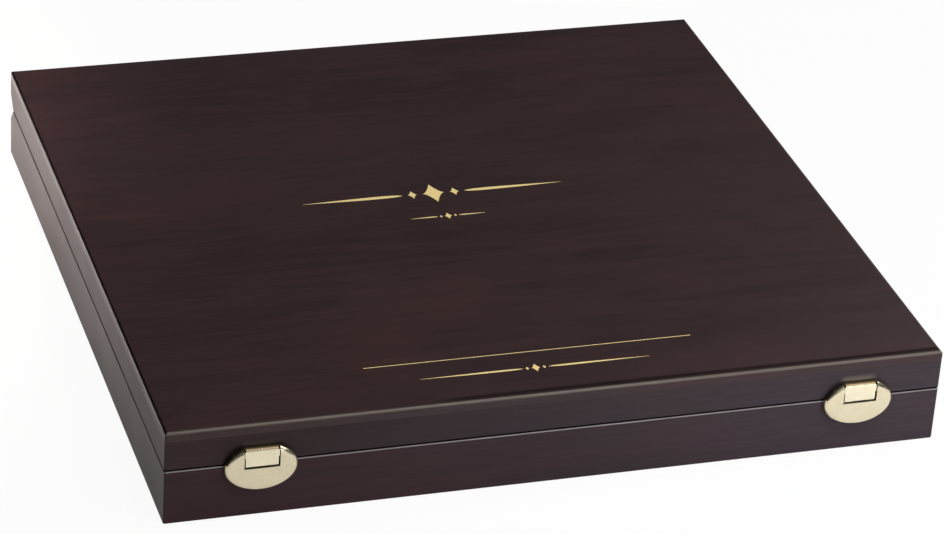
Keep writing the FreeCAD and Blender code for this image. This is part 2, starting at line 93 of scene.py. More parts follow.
class Graph:
    """The node tree of one material while it is put together."""

    def __init__(self, name: str) -> None:
        """Starts an empty material.

        Args:
            name: The material's name.
        """
        self.material = bpy.data.materials.new(name)
        self.material.use_nodes = True
        self.tree = self.material.node_tree
        self.tree.nodes.clear()
        self.place = self.add("ShaderNodeTexCoord").outputs["Object"]
        self.axes = self.add("ShaderNodeSeparateXYZ", {0: self.place}).outputs

    def add(self, kind: str, inputs: Optional[Inputs] = None, **settings: object) -> bpy.types.Node:
        """Adds a node.

        Args:
            kind: The node's type.
            inputs: Values or sockets for its inputs, by name or number.
            **settings: Its own properties, such as an operation.

        Returns:
            The new node.
        """
        node = self.tree.nodes.new(kind)
        for key, value in settings.items():
            setattr(node, key, value)
        for key, value in (inputs or {}).items():
            if isinstance(value, Socket):
                self.tree.links.new(value, node.inputs[key])
            else:
                node.inputs[key].default_value = value
        return node

    def noise(self, pattern: Pattern, grain: Grain = Grain.ACROSS_FRONT) -> Socket:
        """Cloudy noise on the object's own coordinates.

        Args:
            pattern: Its waves and layers.
            grain: The direction that it is drawn out in.

        Returns:
            A socket from 0 to 1, around one half.
        """
        scale = grain.stretch(pattern.along, pattern.across)
        shift = (pattern.shift, pattern.shift, pattern.shift)
        mapping = self.add("ShaderNodeMapping", {"Vector": self.place, "Scale": scale, "Location": shift})
        inputs = {
            "Vector": mapping.outputs[0],
            "Scale": 1.0,
            "Detail": pattern.layers,
            "Roughness": pattern.roughness,
            "Distortion": pattern.wavering,
        }
        return self.add("ShaderNodeTexNoise", inputs).outputs[0]

    def span(self, value: Value, bounds: Bounds, to_low: float = 0.0, to_high: float = 1.0) -> Socket:
        """Maps a span of values smoothly onto another, and holds it at the ends.

        Args:
            value: What is mapped.
            bounds: Start and end of the span.
            to_low: Result at the start.
            to_high: Result at the end.

        Returns:
            The mapped value.
        """
        inputs = {0: value, 1: bounds[0], 2: bounds[1], 3: to_low, 4: to_high}
        return self.add("ShaderNodeMapRange", inputs, interpolation_type="SMOOTHSTEP").outputs[0]

    def above(self, value: Value, level: float, soft: float) -> Socket:
        """Nothing below a level and one above it, with a soft change around it."""
        return self.span(value, (level - soft, level + soft))

    def below(self, value: Value, level: float, soft: float) -> Socket:
        """One below a level and nothing above it, with a soft change around it."""
        return self.span(value, (level - soft, level + soft), 1.0, 0.0)

    def math(self, operation: str, first: Value, second: Value = 0.0) -> Socket:
        """The result of one sum on two values."""
        return self.add("ShaderNodeMath", {0: first, 1: second}, operation=operation).outputs[0]

    def mix(self, share: Value, first: Value, second: Value, blend: str = "MIX") -> Socket:
        """Mixes two colours.

        Args:
            share: How much of the second colour there is.
            first: A colour, of four numbers where it is constant.
            second: Another colour.
            blend: How they are mixed.

        Returns:
            The mixed colour.
        """
        inputs = {0: share, 6: first, 7: second}
        return self.add("ShaderNodeMix", inputs, data_type="RGBA", blend_type=blend).outputs[2]

    def product(self, *values: Value) -> Socket:
        """All the values multiplied together."""
        result = values[0]
        for value in values[1:]:
            result = self.math("MULTIPLY", result, value)
        return result

    def apart(self, axis: str, middle: float) -> Socket:
        """Distance of a place from a level along one axis, never negative."""
        return self.math("ABSOLUTE", self.math("SUBTRACT", self.axes[axis], middle))

    def bump(self, height: Value, distance: float, strength: float) -> Socket:
        """A normal bent by a height from 0 to 1 that stands for a real distance in metres."""
        inputs = {"Height": height, "Distance": distance, "Strength": strength}
        return self.add("ShaderNodeBump", inputs).outputs[0]

    def finish(self, **sockets: Value) -> bpy.types.Material:
        """Ends the tree with a principled surface.

        Args:
            **sockets: Values by socket name, with underscores for spaces.

        Returns:
            The finished material.
        """
        inputs = {name.replace("_", " "): value for name, value in sockets.items()}
        surface = self.add("ShaderNodeBsdfPrincipled", inputs)
        self.add("ShaderNodeOutputMaterial", {"Surface": surface.outputs[0]})
        return self.material


def opaque(colour: Colour, scale: float = 1.0) -> Tuple[float, float, float, float]:
    """A colour with its alpha, made lighter or darker by a scale."""
    return (colour[0] * scale, colour[1] * scale, colour[2] * scale, 1.0)


# Finishes

@dataclass(frozen=True)
class EdgeLine:
    """A long level band by an edge, painted in a colour of its own: painted highlights, painted shade, and
    lacquer worn thin and light.

    The line is full up to one distance from the edge's corner, and gone beyond another. It fades in where it
    begins along x, which is left of the whole case unless that is given.
    """

    runs: Grain
    level: float
    z: float
    full: float
    none: float
    # The default colour is the lid's front brow: lacquer worn thin and light, lightened further as a painted
    # highlight.
    colour: Colour = (0.098, 0.076, 0.054)
    dullness: float = 0.0
    patchiness: float = 0.3
    begins: float = -1.0
    fade: float = 30.0 * MM
    patches: Pattern = Pattern(55.0, 55.0, 4.0, 0.6, 0.0, 2.9)

    def share(self, graph: Graph) -> Socket:
        """How much of the line a place has: one near the edge's corner, less in patches along it.

        Args:
            graph: The material being built.

        Returns:
            A share from 0 to 1.
        """
        scale = (0.0, 1.0, 1.0)
        corner = (0.0, -self.level, -self.z)
        if self.runs is Grain.FRONT_TO_BACK:
            scale = (1.0, 0.0, 1.0)
            corner = (-self.level, 0.0, -self.z)
        inputs = {"Vector": graph.place, "Scale": scale, "Location": corner}
        offset = graph.add("ShaderNodeMapping", inputs).outputs[0]
        distance = graph.add("ShaderNodeVectorMath", {0: offset}, operation="LENGTH").outputs["Value"]
        return graph.product(
            graph.span(distance, (self.full, self.none), 1.0, 0.0),
            graph.span(graph.noise(self.patches), NOISE_BOUNDS, 1.0 - self.patchiness),
            graph.span(graph.axes["X"], (self.begins, self.begins + self.fade)),
        )


@dataclass(frozen=True)
class FrontPatch:
    """A small part of the front painted in a colour of its own, such as painted shade in the gap round a
    latch's tab.

    Inner and outer are distances from its middle x, floor and top are heights over the seam, and reach is
    how far behind the front it goes.
    """

    x: float
    seam: float
    front: float
    inner: float = 0.0
    outer: float = 8.75 * MM
    floor: float = -0.65 * MM
    top: float = 9.5 * MM
    reach: float = 3.7 * MM
    soft: float = 0.06 * MM
    # The default colour is painted shade, near black and dull, for the gaps round a latch's tab.
    colour: Colour = (0.006, 0.005, 0.004)
    dullness: float = 0.9

    def share(self, graph: Graph) -> Socket:
        """One inside the patch and nothing outside it.

        Where inner is zero, a hairline of half strength is left down the middle.

        Args:
            graph: The material being built.

        Returns:
            A share from 0 to 1.
        """
        across = graph.apart("X", self.x)
        rise = graph.apart("Z", self.seam + (self.floor + self.top) / 2)
        return graph.product(
            graph.above(across, self.inner, self.soft),
            graph.below(across, self.outer, self.soft),
            graph.below(rise, (self.top - self.floor) / 2, self.soft),
            graph.above(graph.axes["Y"], self.front - self.reach, self.soft),
        )


@dataclass(frozen=True)
class LacqueredWood:
    """Close-grained wood, stained nearly black-brown, under satin lacquer."""

    name: str
    grain: Grain
    seam: float
    edges: Tuple[Union[EdgeLine, FrontPatch], ...] = ()
    depth: float = 1.0
    deep: Colour = (0.0180, 0.0088, 0.0092)
    body: Colour = (0.0262, 0.0122, 0.0124)
    warm: Colour = (0.0360, 0.0138, 0.0124)
    mauve: Colour = (0.0250, 0.0132, 0.0162)
    # far is a lighter mauve mixed in towards the right end, as painted light from the right.
    far: Colour = (0.0370, 0.0270, 0.0340)
    mauve_share: float = 0.5
    warm_share: float = 0.45
    right_light_share: float = 0.0
    seam_above: float = 0.80 * MM
    seam_below: float = 0.22 * MM
    fade_above: float = 0.2 * MM
    fade_below: float = 0.1 * MM
    roughness: float = 0.36
    glossier: float = 0.03
    duller: float = 0.04
    dull_roughness: float = 0.85
    specular: float = 0.34
    dull_specular: float = 0.02
    streaks: Pattern = Pattern(11.0, 150.0, 5.0, 0.6, 0.6)
    hazes: Pattern = Pattern(5.0, 6.0, 2.0, 0.5, 0.0, 4.4)
    clouds: Pattern = Pattern(10.0, 16.0, 3.0, 0.55, 0.3, 7.3)
    lines: Pattern = Pattern(38.0, 720.0, 4.0, 0.65, 0.3, 3.1)
    pores: Pattern = Pattern(260.0, 2600.0, 2.0, 0.5, 0.0, 5.7)
    ripple: Pattern = Pattern(240.0, 240.0, 2.0)
    haze_bounds: Bounds = (0.35, 0.65)
    warm_bounds: Bounds = (0.42, 0.72)
    line_bounds: Bounds = (0.25, 0.75)
    pore_bounds: Bounds = (0.62, 0.74)
    right_light_bounds: Bounds = (-0.15, 0.17)
    line_shades: Bounds = (0.84, 1.14)
    pore_share: float = 0.45
    pore_shade: float = 0.5
    seam_shade: float = 0.1
    line_relief: float = 0.35
    pore_relief: float = 0.5
    ripple_relief: float = 0.8
    relief: float = 0.03 * MM
    relief_strength: float = 0.35

    def colour(self, graph: Graph, lines: Socket, sunk: Socket, clouds: Socket) -> Socket:
        """Streaks follow the grain over soft reddish and mauve clouds, fine lines and pores darken it, and
        painted light makes it lighter towards the right end.

        Args:
            graph: The material being built.
            lines: Fine lines along the grain.
            sunk: Share of a place that lies in a pore.
            clouds: Soft wide pattern.

        Returns:
            The colour of the stained wood.
        """
        streaks = graph.noise(self.streaks, self.grain)
        hazed = graph.span(graph.noise(self.hazes), self.haze_bounds, 0.0, self.mauve_share)
        warmed = graph.span(clouds, self.warm_bounds, 0.0, self.warm_share)
        # Painted light: the stain turns to the lighter far colour towards the right end.
        painted_right_light = graph.span(graph.axes["X"], self.right_light_bounds, 0.0, self.right_light_share)
        stain = graph.mix(graph.span(streaks, NOISE_BOUNDS), opaque(self.deep), opaque(self.body))
        stain = graph.mix(hazed, stain, opaque(self.mauve))
        stain = graph.mix(warmed, stain, opaque(self.warm))
        stain = graph.mix(painted_right_light, stain, opaque(self.far))
        darkest, lightest = self.line_shades
        shade = graph.span(lines, self.line_bounds, darkest * self.depth, lightest * self.depth)
        grey = graph.add("ShaderNodeCombineColor", {0: shade, 1: shade, 2: shade}).outputs[0]
        stain = graph.mix(1.0, stain, grey, "MULTIPLY")
        return graph.mix(graph.product(sunk, self.pore_share), stain, opaque(self.deep, self.pore_shade))

    def build(self) -> bpy.types.Material:
        """The stained colour under lacquer, dark and dull along the seam: painted shade in its gap, with the
        darker bare wood at its edges.

        Returns:
            The material.
        """
        graph = Graph(self.name)
        clouds = graph.noise(self.clouds, self.grain)
        lines = graph.noise(self.lines, self.grain)
        sunk = graph.span(graph.noise(self.pores, self.grain), self.pore_bounds)
        rise = graph.math("SUBTRACT", graph.axes["Z"], self.seam)
        # Painted shade along the seam gap: a dark, dull band on both sides of it, with the bare wood at its
        # edges.
        painted_seam_shade = graph.product(
            graph.span(rise, (-self.seam_below - self.fade_below, -self.seam_below)),
            graph.span(rise, (self.seam_above, self.seam_above + self.fade_above), 1.0, 0.0),
        )
        stain = self.colour(graph, lines, sunk, clouds)
        dull = painted_seam_shade
        # Edge lines and patches paint their colours over the stain: painted highlights, painted shade and
        # painted reflections, and lacquer worn thin at the brow.
        for edge in self.edges:
            share = edge.share(graph)
            stain = graph.mix(share, stain, opaque(edge.colour))
            dull = graph.math("MAXIMUM", dull, graph.product(share, edge.dullness))
        stain = graph.mix(painted_seam_shade, stain, opaque(self.deep, self.seam_shade))
        grooves = graph.product(sunk, self.pore_relief)
        height = graph.math("SUBTRACT", graph.product(lines, self.line_relief), grooves)
        height = graph.math("ADD", height, graph.product(graph.noise(self.ripple), self.ripple_relief))
        gloss = graph.span(clouds, NOISE_BOUNDS, self.roughness - self.glossier, self.roughness + self.duller)
        return graph.finish(
            Base_Color=stain,
            Roughness=graph.math("MAXIMUM", gloss, graph.product(dull, self.dull_roughness)),
            Specular_IOR_Level=graph.span(dull, (0.0, 1.0), self.specular, self.dull_specular),
            Normal=graph.bump(height, self.relief, self.relief_strength),
        )


@dataclass(frozen=True)
class StainedBoard:
    """Thin pressed board under the base, stained to match the wood but open and dull."""

    name: str = "stained_board"
    dark: Colour = (0.016, 0.010, 0.009)
    light: Colour = (0.040, 0.027, 0.022)
    fibres: Pattern = Pattern(900.0, 900.0, 6.0, 0.7, 1.6)
    blotches: Pattern = Pattern(28.0, 28.0, 3.0)
    fibre_least: float = 0.3
    blotch_least: float = 0.5
    roughness: Bounds = (0.72, 0.6)
    specular: float = 0.3
    relief: float = 0.08 * MM
    relief_strength: float = 0.6

    def build(self) -> bpy.types.Material:
        """Short fibres lie in every direction, as in hardboard.

        Returns:
            The material.
        """
        graph = Graph(self.name)
        fibres = graph.noise(self.fibres)
        share = graph.product(
            graph.span(fibres, NOISE_BOUNDS, self.fibre_least),
            graph.span(graph.noise(self.blotches), NOISE_BOUNDS, self.blotch_least),
        )
        return graph.finish(
            Base_Color=graph.mix(share, opaque(self.dark), opaque(self.light)),
            Roughness=graph.span(fibres, NOISE_BOUNDS, *self.roughness),
            Specular_IOR_Level=self.specular,
            Normal=graph.bump(fibres, self.relief, self.relief_strength),
        )


@dataclass(frozen=True)
class Flock:
    """Short dense pile, as sprayed on formed trays and lining boards."""

    name: str
    base: Colour = (0.012, 0.011, 0.011)
    tips: Colour = (0.038, 0.036, 0.035)
    pile: Pattern = Pattern(3800.0, 3800.0, 3.0, 0.65)
    brushed: Pattern = Pattern(45.0, 70.0, 4.0, 0.6, 0.8)
    pile_bounds: Bounds = (0.35, 0.68)
    brushed_least: float = 0.35
    roughness: float = 0.95
    specular: float = 0.1
    sheen: float = 0.25
    sheen_roughness: float = 0.45
    relief: float = 0.15 * MM
    relief_strength: float = 0.8

    def build(self) -> bpy.types.Material:
        """Tufts a fraction of a millimetre wide, with soft lighter patches where the pile is brushed.

        Returns:
            The material.
        """
        graph = Graph(self.name)
        pile = graph.noise(self.pile)
        share = graph.product(
            graph.span(pile, self.pile_bounds),
            graph.span(graph.noise(self.brushed), NOISE_BOUNDS, self.brushed_least),
        )
        return graph.finish(
            Base_Color=graph.mix(share, opaque(self.base), opaque(self.tips)),
            Roughness=self.roughness,
            Specular_IOR_Level=self.specular,
            Sheen_Weight=self.sheen,
            Sheen_Roughness=self.sheen_roughness,
            Normal=graph.bump(pile, self.relief, self.relief_strength),
        )


@dataclass(frozen=True)
class BrushedMetal:
    """Plated or bare metal with fine parallel brushing under a little wear."""

    name: str
    bright: Colour
    dull: Colour
    roughness: float = 0.28
    patches: Tuple[FrontPatch, ...] = ()
    brushing: Pattern = Pattern(70.0, 5200.0, 3.0, 0.6)
    tarnish: Pattern = Pattern(160.0, 160.0, 4.0, 0.6, 0.4)
    tarnished: float = 0.22
    tarnish_bounds: Bounds = (0.35, 0.75)
    line_share: float = 0.2
    line_bounds: Bounds = (0.4, 0.8)
    gloss_bounds: Bounds = (0.25, 0.75)
    glossier: float = 0.03
    duller: float = 0.05
    tarnish_roughness: float = 0.03
    relief: float = 0.004 * MM
    relief_strength: float = 0.4

    def build(self) -> bpy.types.Material:
        """Brush lines run along the case's front, and soft patches of tarnish change the gloss.

        Returns:
            The material.
        """
        graph = Graph(self.name)
        lines = graph.noise(self.brushing)
        tarnish = graph.noise(self.tarnish)
        share = graph.math(
            "ADD",
            graph.span(tarnish, self.tarnish_bounds, 0.0, self.tarnished),
            graph.span(lines, self.line_bounds, 0.0, self.line_share),
        )
        least = self.roughness - self.glossier
        gloss = graph.span(lines, self.gloss_bounds, least, self.roughness + self.duller)
        gloss = graph.math("ADD", gloss, graph.span(tarnish, self.line_bounds, 0.0, self.tarnish_roughness))
        colour = graph.mix(share, opaque(self.bright), opaque(self.dull))
        # Patches paint their colours over the metal: painted shade in gaps and painted dark reflections.
        for patch in self.patches:
            covered = patch.share(graph)
            colour = graph.mix(covered, colour, opaque(patch.colour))
            gloss = graph.math("MAXIMUM", gloss, graph.product(covered, patch.dullness))
        return graph.finish(
            Base_Color=colour,
            Metallic=1.0,
            Roughness=gloss,
            Normal=graph.bump(lines, self.relief, self.relief_strength),
        )


@dataclass(frozen=True)
class GoldFoil:
    """Stamped foil, thin enough to follow the grain under it."""

    name: str = "gold_foil"
    bright: Colour = (0.97, 0.76, 0.33)
    worn: Colour = (0.80, 0.60, 0.25)
    specks: Pattern = Pattern(900.0, 1500.0, 4.0, 0.7)
    speck_bounds: Bounds = (0.52, 0.75)
    gloss_bounds: Bounds = (0.4, 0.7)
    roughness: Bounds = (0.38, 0.55)
    metallic: float = 0.05
    relief: float = 0.01 * MM
    relief_strength: float = 0.5

    def build(self) -> bpy.types.Material:
        """Specks where the foil took badly on the grain are duller and darker.

        Returns:
            The material.
        """
        graph = Graph(self.name)
        specks = graph.noise(self.specks)
        worn = graph.span(specks, self.speck_bounds)
        return graph.finish(
            Base_Color=graph.mix(worn, opaque(self.bright), opaque(self.worn)),
            Metallic=self.metallic,
            Roughness=graph.span(specks, self.gloss_bounds, *self.roughness),
            Normal=graph.bump(specks, self.relief, self.relief_strength),
        )


@dataclass(frozen=True)
class StudioFloor:
    """White table surface that looks white to the camera and in reflections, and keeps soft shadows."""

    name: str = "studio_floor"
    paper: Colour = (0.80, 0.80, 0.80)
    tooth: Pattern = Pattern(500.0, 500.0, 3.0)
    tooth_lightness: float = 1.02
    relief: float = 0.05 * MM
    relief_strength: float = 0.2
    white: Colour = (1.0, 1.0, 1.0)
    glow_share: float = 0.94
    mirrored: Colour = (1.0, 0.90, 0.88)
    mirrored_share: float = 0.27

    def build(self) -> bpy.types.Material:
        """Paper tooth on a matte white, mixed with plain white for rays that carry a picture of it.

        Returns:
            The material.
        """
        graph = Graph(self.name)
        tooth = graph.noise(self.tooth)
        paper = graph.add(
            "ShaderNodeBsdfDiffuse",
            {
                "Color": graph.mix(tooth, opaque(self.paper), opaque(self.paper, self.tooth_lightness)),
                "Normal": graph.bump(tooth, self.relief, self.relief_strength),
            },
        )
        path = graph.add("ShaderNodeLightPath").outputs
        tint = graph.mix(path["Is Camera Ray"], opaque(self.mirrored), opaque(self.white))
        white = graph.add("ShaderNodeEmission", {"Color": tint, "Strength": 1.0})
        mirrored = graph.math("MAXIMUM", path["Is Glossy Ray"], path["Is Transmission Ray"])
        mirrored = graph.math("MULTIPLY", mirrored, self.mirrored_share)
        direct = graph.math("MULTIPLY", path["Is Camera Ray"], self.glow_share)
        share = graph.math("MAXIMUM", mirrored, direct)
        mixed = graph.add("ShaderNodeMixShader", {0: share, 1: paper.outputs[0], 2: white.outputs[0]})
        graph.add("ShaderNodeOutputMaterial", {"Surface": mixed.outputs[0]})
        return graph.material


# Meshes

def grid_faces(rows: int, columns: int, wrap: bool) -> np.ndarray:
    """The quads of a grid of points numbered row by row.

    Args:
        rows: Number of rows of points.
        columns: Number of points in a row.
        wrap: Whether the last column joins the first.

    Returns:
        An array of four point numbers for each quad.
    """
    row, column = np.meshgrid(np.arange(rows - 1), np.arange(columns - (not wrap)), indexing="ij")
    after = (column + 1) % columns
    here = row * columns
    there = here + columns
    return np.stack([here + column, here + after, there + after, there + column], axis=-1).reshape(-1, 4)


def new_piece(name: str, points: np.ndarray, faces: Iterable[Sequence[int]], material: bpy.types.Material,
              crease: float = 35.0) -> bpy.types.Object:
    """Makes a mesh object from arrays.

    Args:
        name: The piece's name.
        points: Points in metres, one row each.
        faces: Point numbers of each face, anticlockwise from outside.
        material: Its finish.
        crease: Faces that meet at more than this many degrees keep a sharp edge.

    Returns:
        The new object, at the origin.
    """
    mesh = bpy.data.meshes.new(name)
    mesh.from_pydata(points.reshape(-1, 3).tolist(), [], [list(map(int, face)) for face in faces])
    mesh.materials.append(material)
    mesh.shade_smooth()
    mesh.set_sharp_from_angle(angle=math.radians(crease))
    mesh.validate()
    piece = bpy.data.objects.new(name, mesh)
    bpy.context.scene.collection.objects.link(piece)
    return piece


def dress(names: Iterable[str], material: bpy.types.Material) -> None:
    """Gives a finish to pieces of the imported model.

    Args:
        names: The pieces' names.
        material: The finish.
    """
    for name in names:
        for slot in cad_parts[name].material_slots:
            slot.material = material
        log.info("%s: %s", name, material.name)


class Side(Enum):
    """Left or right half of the case, seen from the front."""

    LEFT = -1
    RIGHT = 1

    @property
    def label(self) -> str:
        """The word used in names."""
        return self.name.lower()


# Sub-assemblies

@dataclass(frozen=True)
class Ribbon:
    """A flat raised strip of foil along the case's front, whose width changes along it."""

    stations: np.ndarray
    half_widths: np.ndarray
    middle: float

    def points(self, low: float, high: float) -> np.ndarray:
        """Four corners at each station: middle less and plus the half width, at the low and high level.

        Args:
            low: Level of the underside.
            high: Level of the top.

        Returns:
            An array of stations by four corners by three.
        """
        near = self.middle - self.half_widths
        far = self.middle + self.half_widths
        lows = np.full_like(near, low)
        highs = np.full_like(near, high)
        corners = ((near, lows), (far, lows), (far, highs), (near, highs))
        return np.stack([np.stack([self.stations, y, z], axis=-1) for y, z in corners], axis=1)

    def faces(self) -> List[List[int]]:
        """The quads between stations, and the two ends."""
        sides = 4
        count = len(self.stations)
        start = list(range(sides))
        finish = [corner + sides * (count - 1) for corner in start]
        return grid_faces(count, sides, True).tolist() + [start[::-1], finish]


@dataclass(frozen=True)
class FoilMotif:
    """A plain printer's ornament: a hollow-sided lozenge between two smaller ones and two tapered rules."""

    centre: Tuple[float, float]
    half_length: float
    half_height: float
    rule_half_width: float
    lozenge_share: float = 0.62
    small_share: float = 0.42
    spacing_share: float = 1.25
    rule_gap_share: float = 0.5
    hollow: float = 1.7
    tip: float = 0.06 * MM
    lozenge_stations: int = 33
    rule_stations: int = 25

    def lozenge(self, offset: float, half_height: float) -> Ribbon:
        """A lozenge with hollow sides: half width is a power of what is left of the way to its tip."""
        across = np.linspace(-1.0, 1.0, self.lozenge_stations)
        stations = self.centre[0] + offset + across * half_height * self.lozenge_share
        widths = np.maximum(half_height * (1 - np.abs(across)) ** self.hollow, self.tip)
        return Ribbon(stations, widths, self.centre[1])

    def rule(self, side: Side, start: float) -> Ribbon:
        """A rule that swells near its inner end: half width follows a sine of the root of its length."""
        share = np.linspace(0.0, 1.0, self.rule_stations)
        if side is Side.LEFT:
            share = share[::-1]
        stations = self.centre[0] + side.value * (start + (self.half_length - start) * share)
        widths = self.tip + (self.rule_half_width - self.tip) * np.sin(np.pi * np.sqrt(share))
        return Ribbon(stations, np.maximum(widths, self.tip), self.centre[1])

    def ribbons(self) -> List[Ribbon]:
        """All the strips of the ornament."""
        small = self.half_height * self.small_share
        gap = self.half_height * self.lozenge_share
        offset = gap * self.spacing_share + small
        start = offset + small * self.lozenge_share + gap * self.rule_gap_share
        return [
            self.lozenge(0.0, self.half_height),
            self.lozenge(-offset, small),
            self.lozenge(offset, small),
            self.rule(Side.LEFT, start),
            self.rule(Side.RIGHT, start),
        ]


@dataclass(frozen=True)
class LidFoil:
    """The gold foil stamped on the lid: plain ornaments and one long thin rule."""

    top: float
    sunk: float = 0.02 * MM
    proud: float = 0.02 * MM
    rule_ends: Tuple[float, float] = (-89.4 * MM, 76.8 * MM)
    rule_y: float = -150.5 * MM
    rule_half_width: float = 0.24 * MM
    rule_stations: int = 3
    upper: FoilMotif = FoilMotif(
        (-6.8 * MM, 12.9 * MM), half_length=70.0 * MM, half_height=9.5 * MM, rule_half_width=1.25 * MM
    )
    lower: FoilMotif = FoilMotif(
        (-6.0 * MM, -12.0 * MM), half_length=20.0 * MM, half_height=3.2 * MM, rule_half_width=0.5 * MM
    )
    front: FoilMotif = FoilMotif(
        (-7.5 * MM, -165.5 * MM), half_length=58.0 * MM, half_height=3.6 * MM, rule_half_width=0.7 * MM
    )

    def stamp(self, name: str, ribbons: Sequence[Ribbon], material: bpy.types.Material) -> None:
        """Joins strips into one piece on the lid.

        Args:
            name: The piece's name.
            ribbons: Its strips.
            material: The foil.
        """
        points = []
        faces = []
        count = 0
        for ribbon in ribbons:
            corners = ribbon.points(self.top - self.sunk, self.top + self.proud).reshape(-1, 3)
            faces += [[number + count for number in face] for face in ribbon.faces()]
            points.append(corners)
            count += len(corners)
        piece = new_piece(name, np.concatenate(points), faces, material)
        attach(piece, "lid")
        log.info("%s: %d strips", name, len(ribbons))

    def build(self) -> None:
        """Stamps the long rule and the three ornaments."""
        foil = GoldFoil().build()
        stations = np.linspace(*self.rule_ends, self.rule_stations)
        rule = Ribbon(stations, np.full_like(stations, self.rule_half_width), self.rule_y)
        self.stamp("lid_foil_rule", [rule], foil)
        self.stamp("lid_foil_upper", self.upper.ribbons(), foil)
        self.stamp("lid_foil_lower", self.lower.ribbons(), foil)
        self.stamp("lid_foil_front", self.front.ribbons(), foil)


@dataclass(frozen=True)
class CaseBody:
    """The wooden walls and panels of the base and lid, with the trays and lining inside."""

    front: float
    left: float
    back: float
    top: float
    rim: float
    seam: float
    redder: Colour = (0.0310, 0.0108, 0.0140)
    painted_edge_shade: Colour = (0.004, 0.003, 0.003)
    # Painted shade: a black, dull line along the top's left and back edges.
    shaded: Colour = (0.0120, 0.0058, 0.0056)
    # Painted highlight: a pale line along the base's front rim.
    painted_rim_highlight: Colour = (0.25, 0.225, 0.23)
    # Painted glow above each latch on the lid's front, a painted reflection of the tab, much brighter at the
    # right end.
    painted_glow_left: Colour = (0.052, 0.041, 0.036)
    painted_glow_right: Colour = (0.20, 0.168, 0.136)
    shade_inset: float = 3.4 * MM

    def painted_glow(self, side: Side) -> FrontPatch:
        """A pale patch painted on the lid's front above a latch: a painted reflection of the tab and its
        light.
        """
        low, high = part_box(f"latch_{side.label}_hanger")
        colour = self.painted_glow_left if side is Side.LEFT else self.painted_glow_right
        return FrontPatch(
            (low.x + high.x) / 2, self.seam, self.front, inner=-9.0 * MM, outer=8.3 * MM, floor=4.0 * MM,
            top=11.4 * MM, soft=2.2 * MM, colour=colour, dullness=0.0,
        )

    def build_base(self) -> None:
        """Dresses the walls and the bottom of the base."""
        across = Grain.ACROSS_FRONT
        # Painted highlight along the base's front rim, just under the seam.
        rim = EdgeLine(across, self.front, self.rim, full=0.42 * MM, none=0.55 * MM, colour=self.painted_rim_highlight)
        front = LacqueredWood(
            "lacquer_base_front", across, self.seam, (rim,), depth=1.2, body=self.redder,
            mauve=(0.0280, 0.0120, 0.0175), right_light_share=0.8, specular=0.20,
        )
        dress(["base_front_board"], front.build())
        dress(["base_back_board"], LacqueredWood("lacquer_base_back", across, self.seam).build())
        sides = LacqueredWood("lacquer_base_sides", Grain.FRONT_TO_BACK, self.seam)
        dress(["base_left_board", "base_right_board"], sides.build())
        dress(["base_bottom_panel"], StainedBoard().build())

    def build_lid(self) -> None:
        """Dresses the walls and the top of the lid."""
        across = Grain.ACROSS_FRONT
        along = Grain.FRONT_TO_BACK
        front = LacqueredWood(
            "lacquer_lid_front", across, self.seam, tuple(self.painted_glow(side) for side in Side), depth=1.08,
            mauve=(0.0240, 0.0135, 0.0190), mauve_share=0.9, right_light_share=0.9, specular=0.21,
        )
        dress(["lid_front_board"], front.build())
        dress(["lid_back_board"], LacqueredWood("lacquer_lid_back", across, self.seam).build())
        sides = LacqueredWood("lacquer_lid_sides", along, self.seam, depth=0.8, specular=0.18)
        dress(["lid_left_board", "lid_right_board"], sides.build())
        shade = EdgeLine(
            across, self.front + self.shade_inset, self.top, full=0.4 * MM, none=3.0 * MM, colour=self.shaded,
            dullness=0.7, patchiness=0.1, begins=-75.0 * MM,
        )
        # The brow along the top's front edge: lacquer worn thin and light, lightened further as a painted
        # highlight.
        brow = EdgeLine(across, self.front, self.top, full=0.95 * MM, none=1.5 * MM)
        # Painted shade along the top's left and back edges: a black, dull line, a painted dark reflection on
        # the rounded edge.
        left, back = (
            EdgeLine(
                grain, level, self.top, full=0.98 * MM, none=1.25 * MM, colour=self.painted_edge_shade, dullness=1.0,
                patchiness=0.1,
            )
            for grain, level in ((along, self.left), (across, self.back))
        )
        top = LacqueredWood(
            "lacquer_lid_top", across, self.seam, (shade, brow, left, back), depth=1.38, mauve_share=0.7
        )
        dress(["lid_top_panel"], top.build())

    def build(self) -> None:
        """Dresses the base, then the lid, then the trays and the lining."""
        self.build_base()
        self.build_lid()
        dress(["pencil_tray_front", "pencil_tray_back"], Flock("tray_flock").build())
        dress(["lid_lining_board"], Flock("lining_flock", (0.016, 0.014, 0.014)).build())


